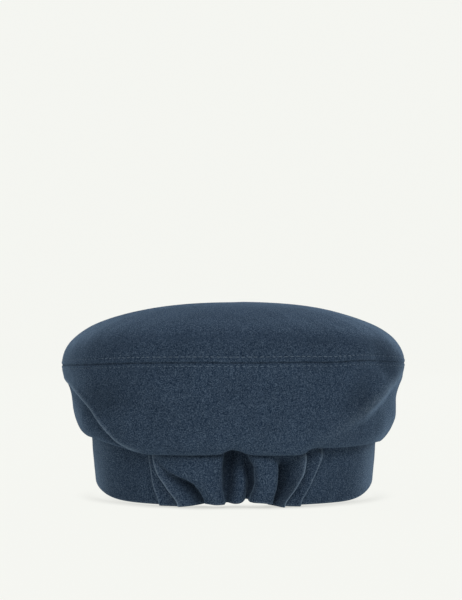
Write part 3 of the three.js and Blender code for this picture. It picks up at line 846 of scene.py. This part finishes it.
def visor(material):
    turn = np.linspace(-PEAK_SPREAD, PEAK_SPREAD, PEAK_COLUMNS)
    angle = 180.0 + turn
    root = oval(angle, BAND)
    root_z = rim_height(angle) - GAP
    aside = np.abs(turn) / PEAK_SPREAD
    reach = mix(PEAK_END, PEAK_LENGTH, np.maximum(np.cos(np.pi / 2 * aside), 0) ** PEAK_OUTLINE)
    arch = PEAK_ARCH * np.maximum(1 - (aside / PEAK_TOUCH) ** 2, 0) ** 2
    fall = 1 - smooth(aside, PEAK_TOUCH, 1.0)
    edge_z = mix(root_z - PEAK_WALL, arch - HANG, fall) + PEAK_WALL
    half = PEAK_WALL / 2
    turn_in = np.linspace(0, np.pi / 2, PEAK_EDGE_ROWS)
    rows = np.linspace(0, 1, PEAK_ROWS)
    length = reach[:, None] - half * np.minimum(1.0, reach[:, None] / PEAK_WALL)
    middle_r = root[:, None] + PEAK_STRIP + length * rows
    swell = PEAK_SWELL * fall[:, None] * np.sin(np.pi * rows)
    middle_z = mix(root_z[:, None], edge_z[:, None], rows) + swell - half
    middle_r = beside((root - BAND_WALL)[:, None], middle_r)
    middle_z = beside((root_z - half)[:, None], middle_z)
    out = (reach[:, None] - length) * np.sin(turn_in)[1:]
    up = half * np.cos(turn_in)[1:]
    end_r = middle_r[:, -1:] + out
    upper_z = beside(middle_z + half, middle_z[:, -1:] + up)
    lower_z = beside(middle_z - half, (middle_z[:, -1:] - up)[:, :-1])
    upper = to_points(angle, beside(middle_r, end_r), upper_z)
    lower = to_points(angle, beside(middle_r, end_r[:, :-1]), lower_z)
    ridge, dip = ridges_and_dips(upper, PEAK_REACH, False)
    grid, ridge, dip = joined(upper, lower, ridge, dip)
    faces = visor_faces(*grid.shape[:2])
    return felt_piece("visor", grid.reshape(-1, 3), faces, material, ridge, dip)


# Stitching
STITCH_RINGS = 7
STITCH_SIDES = 8
# How the cloth leans at each row, in radians, and how far the thread's middle lies over it.
UPPER_LEAN, UPPER_RISE = 0.12, 0.2
LOWER_LEAN, LOWER_RISE = 0.0, -0.09
# A stitch sinks and thins towards its ends, by a power of the way from its middle, down to a least share.
STITCH_SINK = 0.3
STITCH_TAPER = 4
STITCH_LEAST = 0.02
# Seed, and how far stitches vary in place and length.
STITCH_SEED = 17
STITCH_SHIFT = 0.25
STITCH_VARY = 0.35
# Towards the sides the thread lies hidden in the nap, which comes and goes over these angles.
STITCH_HIDDEN = -0.15
STITCH_FADE_FROM_TO = (20.0, 50.0)
STITCH_FADE_UNTIL = (68.0, 96.0)


def row_path(r, z, from_seam, row):
    """The line on the cloth at one distance from the seam: radius and height at each angle."""
    order = slice(None) if from_seam[0, 0] < from_seam[0, -1] else slice(None, None, -1)
    return [
        np.array([np.interp(row, d[order], v[order]) for d, v in zip(from_seam, values)]) for values in (r, z)
    ]


def along_line(values, along, s):
    """Values of a closed line at the distances s along it."""
    return np.stack([np.interp(s % along[-1], along, column) for column in values.T], axis=-1)


def stitch_faces():
    """Faces of one stitch: quads between its rings, and a cap at each end."""
    i, j = np.meshgrid(np.arange(STITCH_RINGS - 1), np.arange(STITCH_SIDES), indexing="ij")
    low = i * STITCH_SIDES
    high = low + STITCH_SIDES
    k = (j + 1) % STITCH_SIDES
    quads = np.stack([low + j, low + k, high + k, high + j], axis=-1).reshape(-1, 4)
    cap = np.arange(STITCH_SIDES)
    return [*quads, cap[::-1], (STITCH_RINGS - 1) * STITCH_SIDES + cap]


def stitching(name, at_r, at_z, lean, rise, material):
    """A row of separate stitches along a closed line round the crown."""
    line = to_points(ANGLES, at_r, at_z)
    a = np.radians(ANGLES)
    level = math.cos(lean)
    out = np.stack([np.sin(a) * level, -np.cos(a) * level, np.full_like(a, math.sin(lean))], axis=-1)
    line = np.concatenate([line, line[:1]])
    out = np.concatenate([out, out[:1]])
    along = np.concatenate([[0.0], np.cumsum(np.linalg.norm(np.diff(line, axis=0), axis=1))])
    count = int(along[-1] / STITCH_PITCH)
    pitch = along[-1] / count
    rng = np.random.default_rng(STITCH_SEED)
    starts = np.arange(count) * pitch + rng.uniform(-STITCH_SHIFT, STITCH_SHIFT, count)
    lengths = STITCH_LENGTH + rng.uniform(-STITCH_VARY, STITCH_VARY, count)
    t = np.linspace(0.0, 1.0, STITCH_RINGS)
    from_middle = (2 * t - 1) ** STITCH_TAPER
    thick = THREAD * np.sqrt(np.clip(1.0 - from_middle, STITCH_LEAST, 1.0))
    ends = STITCH_SINK * from_middle
    aside = np.abs(wrapped(np.append(ANGLES, ANGLES[0])))
    fade = smooth(aside, *STITCH_FADE_FROM_TO) * (1 - smooth(aside, *STITCH_FADE_UNTIL))
    over = mix(rise, min(STITCH_HIDDEN, rise), fade)
    turn = np.arange(STITCH_SIDES) * 2 * np.pi / STITCH_SIDES
    shape = stitch_faces()
    points = []
    faces = []
    for start, length in zip(starts, lengths):
        s = start + t * length
        middle = along_line(line, along, s)
        away = along_line(out, along, s)
        ahead = np.gradient(middle, axis=0)
        ahead = ahead / np.linalg.norm(ahead, axis=1, keepdims=True)
        side = np.cross(ahead, away)
        bow = np.interp(s % along[-1], along, over) - ends
        middle = middle + away * bow[:, None]
        ring = np.cos(turn)[None, :, None] * away[:, None] + np.sin(turn)[None, :, None] * side[:, None]
        first = len(points) * STITCH_RINGS * STITCH_SIDES
        points.append(middle[:, None] + ring * thick[:, None, None])
        faces.extend((first + face).tolist() for face in shape)
    points = np.concatenate([p.reshape(-1, 3) for p in points])
    return new_piece(name, (points * MM).tolist(), faces, material)


# Materials
def shader(name, sockets):
    """A new material with its node tree and surface, whose sockets are set by name."""
    material = bpy.data.materials.new(name)
    material.use_nodes = True
    surface = material.node_tree.nodes["Principled BSDF"]
    for label, value in sockets.items():
        surface.inputs[label].default_value = value
    return material, material.node_tree, surface


def added(tree, kind, labels, values):
    """A new node with some of its inputs set by name."""
    node = tree.nodes.new(kind)
    for label, value in zip(labels, values):
        node.inputs[label].default_value = value
    return node


def noise(tree, place, *settings):
    node = added(tree, "ShaderNodeTexNoise", ("Scale", "Detail", "Roughness", "Distortion"), settings)
    tree.links.new(place, node.inputs["Vector"])
    return node.outputs["Fac"]


def ranged(tree, value, *limits):
    node = added(tree, "ShaderNodeMapRange", ("From Min", "From Max", "To Min", "To Max"), limits)
    tree.links.new(value, node.inputs["Value"])
    return node.outputs["Result"]


def maths(tree, operation, *values):
    node = tree.nodes.new("ShaderNodeMath")
    node.operation = operation
    for socket, value in zip(node.inputs, values):
        if isinstance(value, float):
            socket.default_value = value
        else:
            tree.links.new(value, socket)
    return node.outputs["Value"]


def mesh_share(tree, label):
    """One of the shares that the felt pieces carry at their points."""
    node = tree.nodes.new("ShaderNodeAttribute")
    node.attribute_type = "GEOMETRY"
    node.attribute_name = label
    return node.outputs["Fac"]


def bumped(tree, surface, height, *settings):
    node = added(tree, "ShaderNodeBump", ("Strength", "Distance"), settings)
    tree.links.new(height, node.inputs["Height"])
    tree.links.new(node.outputs["Normal"], surface.inputs["Normal"])


# Felt colour, and how strongly the speckle of fibres and the paler ridges, from wear and painted highlight,
# change each channel of it.
FELT_COLOUR = (0.0321, 0.0517, 0.0834)
SPECKLE = (0.50, 0.42, 0.34)
SPECKLE_POWER = 2.2
WEAR_AND_HIGHLIGHT_TINT = (2.6, 2.1, 1.6)
FELT_SURFACE = {
    "Roughness": 1.0,
    "Specular IOR Level": 0.0,
    "Sheen Weight": 0.24,
    "Sheen Roughness": 0.36,
    "Sheen Tint": (0.48, 0.69, 0.95, 1.0),
}
# Noise of the specks, the fibres and the slow mottling: scale for a metre, detail, roughness and distortion.
SPECK_NOISE = (1550.0, 1.5, 0.6)
FIBRE_NOISE = (520.0, 3.0, 0.6, 1.2)
MOTTLE_NOISE = (46.0, 3.0, 0.55)
# The part of a noise's range that is used, and what the three are spread over.
NOISE_RANGE = (0.3, 0.7)
GRAIN_RANGE = (-1.0, 1.0)
TUFT_RANGE = (0.9, 1.1)
MOTTLE_RANGE = (0.93, 1.07)
# The nap on level cloth: its scale along each axis, and the upward part of the normal over which it comes in.
NAP_SCALE = (1.0, 0.45, 1.0)
NAP_FROM_TO = (0.5, 0.85)
# Painted shade in creases, valleys and shaded places, and the seam's dark line: share of dip at which it
# begins and is full, and the strength of the colour there.
CREASE_SHADE = (0.2, 1.0, 1.0, 0.55)
# How much the fibres add to the relief, and the strength and depth of the bump.
FIBRE_RELIEF = 1.4
FELT_BUMP = (0.35, 0.0005)


def felt_specks(tree, coordinates):
    """Specks of fibre, drawn out from back to front where the cloth lies level."""
    place = coordinates.outputs["Object"]
    speck = noise(tree, place, *SPECK_NOISE)
    brushed = tree.nodes.new("ShaderNodeMapping")
    brushed.inputs["Scale"].default_value = NAP_SCALE
    tree.links.new(place, brushed.inputs["Vector"])
    nap = noise(tree, brushed.outputs["Vector"], *SPECK_NOISE)
    upward = tree.nodes.new("ShaderNodeSeparateXYZ")
    tree.links.new(coordinates.outputs["Normal"], upward.inputs["Vector"])
    level = ranged(tree, upward.outputs["Z"], *NAP_FROM_TO, 0.0, 1.0)
    blend = tree.nodes.new("ShaderNodeMix")
    tree.links.new(level, blend.inputs["Factor"])
    tree.links.new(speck, blend.inputs["A"])
    tree.links.new(nap, blend.inputs["B"])
    return blend.outputs["Result"]


def felt_material():
    """Brushed wool felt: speckled fibres, slow mottling, ridges paler from wear and painted highlight, and
    painted shade in creases and valleys.
    """
    material, tree, surface = shader("felt_wool", FELT_SURFACE)
    coordinates = tree.nodes.new("ShaderNodeTexCoord")
    place = coordinates.outputs["Object"]
    speck = felt_specks(tree, coordinates)
    fibre = noise(tree, place, *FIBRE_NOISE)
    cloud = noise(tree, place, *MOTTLE_NOISE)
    grain = ranged(tree, speck, *NOISE_RANGE, *GRAIN_RANGE)
    tuft = ranged(tree, fibre, *NOISE_RANGE, *TUFT_RANGE)
    mottle = ranged(tree, cloud, *NOISE_RANGE, *MOTTLE_RANGE)
    # Paler from wear and painted highlight on ridges, fold lines and the headband's sides.
    wear_and_highlight = mesh_share(tree, "ridge")
    grain = maths(tree, "MULTIPLY", grain, ranged(tree, wear_and_highlight, 0.0, 1.0, 1.0, 0.0))
    # Painted shade from the dip share: creases, valleys, shaded places and the pinch, and the seam's dark
    # line.
    crease_shade = ranged(tree, mesh_share(tree, "dip"), *CREASE_SHADE)
    level = maths(tree, "MULTIPLY", tuft, mottle)
    level = maths(tree, "MULTIPLY", level, crease_shade)
    colour = tree.nodes.new("ShaderNodeCombineColor")
    for channel, amount, gain, paler in zip(("Red", "Green", "Blue"), FELT_COLOUR, SPECKLE, WEAR_AND_HIGHLIGHT_TINT):
        tone = maths(tree, "MULTIPLY_ADD", grain, gain, 1.0)
        tone = maths(tree, "MULTIPLY", maths(tree, "POWER", tone, SPECKLE_POWER), amount)
        tone = maths(tree, "MULTIPLY", tone, maths(tree, "MULTIPLY_ADD", wear_and_highlight, paler, 1.0))
        tree.links.new(maths(tree, "MULTIPLY", level, tone), colour.inputs[channel])
    tree.links.new(colour.outputs["Color"], surface.inputs["Base Color"])
    relief = maths(tree, "MULTIPLY_ADD", fibre, FIBRE_RELIEF, speck)
    bumped(tree, surface, relief, *FELT_BUMP)
    return material


# Thread: its noise, two tones with their places in the noise's range, and strength and depth of the bump.
THREAD_SURFACE = {"Roughness": 0.8, "Specular IOR Level": 0.1}
THREAD_NOISE = (2400.0, 2.0, 0.5)
THREAD_TONES = ((0.3, (0.082, 0.118, 0.164, 1.0)), (0.7, (0.140, 0.188, 0.246, 1.0)))
THREAD_BUMP = (0.3, 0.0002)


def thread_material():
    material, tree, surface = shader("thread_cotton", THREAD_SURFACE)
    place = tree.nodes.new("ShaderNodeTexCoord").outputs["Object"]
    twist = noise(tree, place, *THREAD_NOISE)
    tone = tree.nodes.new("ShaderNodeValToRGB")
    for stop, (position, colour) in zip(tone.color_ramp.elements, THREAD_TONES):
        stop.position = position
        stop.color = colour
    tree.links.new(twist, tone.inputs["Fac"])
    tree.links.new(tone.outputs["Color"], surface.inputs["Base Color"])
    bumped(tree, surface, twist, *THREAD_BUMP)
    return material


FLOOR_SURFACE = {
    "Base Color": (0.008, 0.008, 0.0076, 1.0),
    "Roughness": 0.95,
    "Specular IOR Level": 0.0,
    "Emission Color": (0.908, 0.916, 0.877, 1.0),
}
# Contact shade close to the cap: reach in metres, samples, openness at both its ends, and the glow there.
CONTACT_REACH = 0.02
CONTACT_SAMPLES = 16
CONTACT_SHADE = (0.3, 0.9, 0.68, 1.0)


def floor_material():
    material, tree, surface = shader("stage_paper", FLOOR_SURFACE)
    near = tree.nodes.new("ShaderNodeAmbientOcclusion")
    near.samples = CONTACT_SAMPLES
    near.inputs["Distance"].default_value = CONTACT_REACH
    glow = ranged(tree, near.outputs["AO"], *CONTACT_SHADE)
    tree.links.new(glow, surface.inputs["Emission Strength"])
    material.cycles.emission_sampling = "NONE"
    return material


# The stage in metres: radius of its level floor and of the small hole in its middle, radius of the curve up
# to the wall, height of the wall, and the steps round it and along the curve.
STAGE_FLAT = 2.4
STAGE_MIDDLE = 0.0005
STAGE_CURVE = 1.2
STAGE_WALL = 3.2
STAGE_SIDES = 96
STAGE_BENDS = 17


def stage_piece(name, r, z, paper):
    """A ring of the stage, turned about the upright axis."""
    a = np.arange(STAGE_SIDES) * 2 * math.pi / STAGE_SIDES
    points = [(x * math.cos(t), x * math.sin(t), y) for x, y in zip(r, z) for t in a]
    faces = closed_faces(len(r), STAGE_SIDES, False, True).tolist()
    piece = new_piece(name, points, faces, paper)
    return piece


def stage():
    """A pale floor, whose glow lights the cap from below, and a wall that curves up from it all round."""
    paper = floor_material()
    stage_piece("stage_floor", (STAGE_MIDDLE, STAGE_FLAT), (0.0, 0.0), paper)
    turn = np.linspace(0, math.pi / 2, STAGE_BENDS)
    r = np.append(STAGE_FLAT + STAGE_CURVE * np.sin(turn), STAGE_FLAT + STAGE_CURVE)
    z = np.append(STAGE_CURVE * (1 - np.cos(turn)), STAGE_WALL)
    wall = stage_piece("stage_wall", r, z, paper)
    wall.visible_diffuse = False
    wall.visible_glossy = False


# Light: the round lights' size, distance from and aim at the cap, in metres, and the faint light all round.
LIGHT_SIZE = 1.0
LIGHT_DISTANCE = 2.2
LIGHT_AIM = (0.0, -0.02, 0.06)
WORLD_COLOUR = (0.95, 0.97, 1.0, 1.0)
WORLD_STRENGTH = 0.05
# Name of each light, azimuth from the camera's side to the right, elevation and power.
LIGHTS = (
    ("key_right", 30, 32, 13.0),
    ("key_left", -5, 27, 12.2),
    ("top_right", 115, 66, 7.0),
    ("top_left", -118, 64, 14.0),
    ("front", 180, 45, 17.0),
    ("rim_right", 142, 2, 55.0),
    ("rim_left", -142, 2, 22.0),
)


def area_light(name, azimuth, elevation, power):
    """A soft round light aimed at the cap."""
    data = bpy.data.lights.new(name, "AREA")
    data.shape = "DISK"
    data.size = LIGHT_SIZE
    data.energy = power
    light = bpy.data.objects.new(name, data)
    light.visible_camera = False
    a = math.radians(azimuth)
    e = math.radians(elevation)
    away = Vector((math.sin(a) * math.cos(e), -math.cos(a) * math.cos(e), math.sin(e)))
    light.location = Vector(LIGHT_AIM) + LIGHT_DISTANCE * away
    light.rotation_euler = (-away).to_track_quat("-Z", "Y").to_euler()
    bpy.context.scene.collection.objects.link(light)


def lights():
    world = bpy.data.worlds.new("studio")
    world.use_nodes = True
    backdrop = world.node_tree.nodes["Background"]
    backdrop.inputs["Color"].default_value = WORLD_COLOUR
    backdrop.inputs["Strength"].default_value = WORLD_STRENGTH
    bpy.context.scene.world = world
    for row in LIGHTS:
        area_light(*row)


def camera():
    data = bpy.data.cameras.new("photo_camera")
    data.sensor_fit = "VERTICAL"
    data.sensor_height = SENSOR
    data.lens = SENSOR * CAMERA_DISTANCE / (IMAGE_HEIGHT * MM_PER_PIXEL)
    view = bpy.data.objects.new("photo_camera", data)
    aside = (IMAGE_WIDTH / 2 - AXIS_PIXEL) * MM_PER_PIXEL
    view.location = (aside * MM, (AXIS_Y - CAMERA_DISTANCE) * MM, (CAMERA_HEIGHT + HANG) * MM)
    view.rotation_euler = (math.pi / 2, 0.0, 0.0)
    bpy.context.scene.collection.objects.link(view)
    bpy.context.scene.camera = view


felt = felt_material()
thread = thread_material()

top = top_panel(felt)
side = side_panel(felt)
band = headband(felt)
peak = visor(felt)
side_outer, _, side_from, _, _ = side_grids()
upper_line = row_path(*top_outer(), UPPER_ROW)
lower_line = row_path(*side_outer, side_from, LOWER_ROW)
upper_row = stitching("stitch_row_upper", *upper_line, UPPER_LEAN, UPPER_RISE, thread)
lower_row = stitching("stitch_row_lower", *lower_line, LOWER_LEAN, LOWER_RISE, thread)

for piece, node in ((top, "crown_top"), (side, "crown_side"), (band, "band"), (peak, "peak")):
    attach(piece, "root")
    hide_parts(node)
for piece in (upper_row, lower_row):
    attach(piece, "root")

stage()
lights()
camera()
bpy.context.scene.view_settings.view_transform = "Standard"
